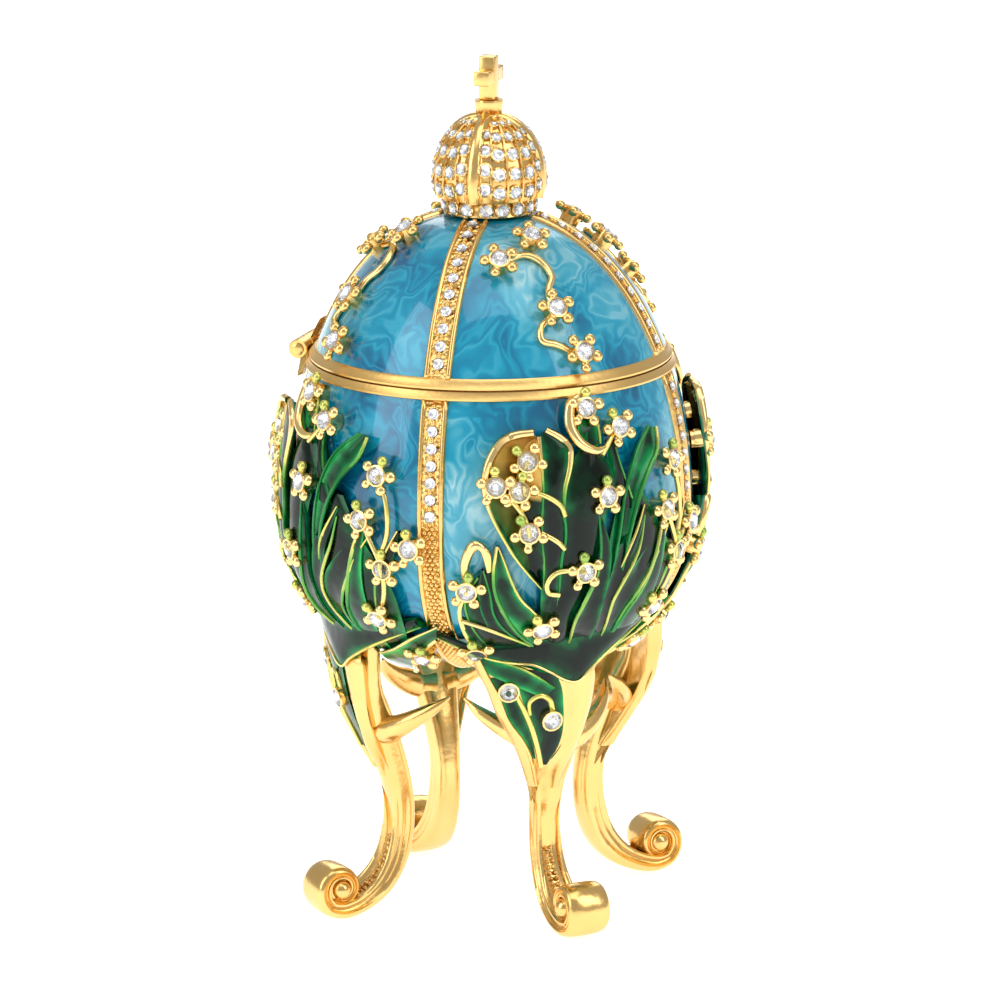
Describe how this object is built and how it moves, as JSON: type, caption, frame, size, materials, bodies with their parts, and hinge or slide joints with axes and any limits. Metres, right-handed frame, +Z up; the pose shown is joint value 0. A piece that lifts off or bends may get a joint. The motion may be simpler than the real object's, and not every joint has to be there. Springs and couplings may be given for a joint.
{
  "type": "jewelled egg trinket box",
  "caption": "Egg-shaped hinged trinket box on scroll legs, with leaf sprays, star flowers, jewelled ribs and a crown finial.",
  "frame": {"origin": "on the ground under the middle of the egg, the box standing on its four feet", "axes": "+Z up; +Y towards the hinge at the back; the ribs lie on X and Y and the legs on the diagonals"},
  "size_m": [0.0652, 0.0652, 0.1302],
  "materials": {
    "blue_enamel": "marbled glossy enamel on cast metal",
    "gold": "bright gold plating",
    "green_enamel": "gold-plated casting with glossy green enamel",
    "crystal": "clear cut crystal"
  },
  "bodies": {
    "base": {"bowl": "blue_enamel", "hinge_leaf_on_bowl": "gold", "hinge_pin": "gold", "leg_and_leaves_front_right": "green_enamel", "spray_stone_front_right_1": "crystal", "spray_stone_front_right_2": "crystal", "spray_stone_front_right_3": "crystal", "spray_stone_front_right_4": "crystal", "spray_stone_front_right_5": "crystal", "spray_stone_front_right_6": "crystal", "leg_stone_front_right_1": "crystal", "leg_stone_front_right_2": "crystal", "leg_and_leaves_back_right": "green_enamel", "spray_stone_back_right_1": "crystal", "spray_stone_back_right_2": "crystal", "spray_stone_back_right_3": "crystal", "spray_stone_back_right_4": "crystal", "spray_stone_back_right_5": "crystal", "spray_stone_back_right_6": "crystal", "leg_stone_back_right_1": "crystal", "leg_stone_back_right_2": "crystal", "leg_and_leaves_back_left": "green_enamel", "spray_stone_back_left_1": "crystal", "spray_stone_back_left_2": "crystal", "spray_stone_back_left_3": "crystal", "spray_stone_back_left_4": "crystal", "spray_stone_back_left_5": "crystal", "spray_stone_back_left_6": "crystal", "leg_stone_back_left_1": "crystal", "leg_stone_back_left_2": "crystal", "leg_and_leaves_front_left": "green_enamel", "spray_stone_front_left_1": "crystal", "spray_stone_front_left_2": "crystal", "spray_stone_front_left_3": "crystal", "spray_stone_front_left_4": "crystal", "spray_stone_front_left_5": "crystal", "spray_stone_front_left_6": "crystal", "leg_stone_front_left_1": "crystal", "leg_stone_front_left_2": "crystal"},
    "lid": {"lid": "blue_enamel", "crown": "gold", "hinge_leaf_on_lid": "gold", "lid_stone_front_right_1": "crystal", "lid_stone_front_right_2": "crystal", "lid_stone_front_right_3": "crystal", "lid_stone_front_right_4": "crystal", "lid_stone_back_right_1": "crystal", "lid_stone_back_right_2": "crystal", "lid_stone_back_right_3": "crystal", "lid_stone_back_right_4": "crystal", "lid_stone_back_left_2": "crystal", "lid_stone_back_left_3": "crystal", "lid_stone_back_left_4": "crystal", "lid_stone_front_left_1": "crystal", "lid_stone_front_left_2": "crystal", "lid_stone_front_left_3": "crystal", "lid_stone_front_left_4": "crystal"}
  },
  "joints": [
    {"name": "lid_hinge", "type": "hinge", "parent": "base", "child": "lid", "pos_m": [0, 0.02927, 0.0847], "axis": [-1, 0, 0], "range_deg": [0, 95]}
  ]
}
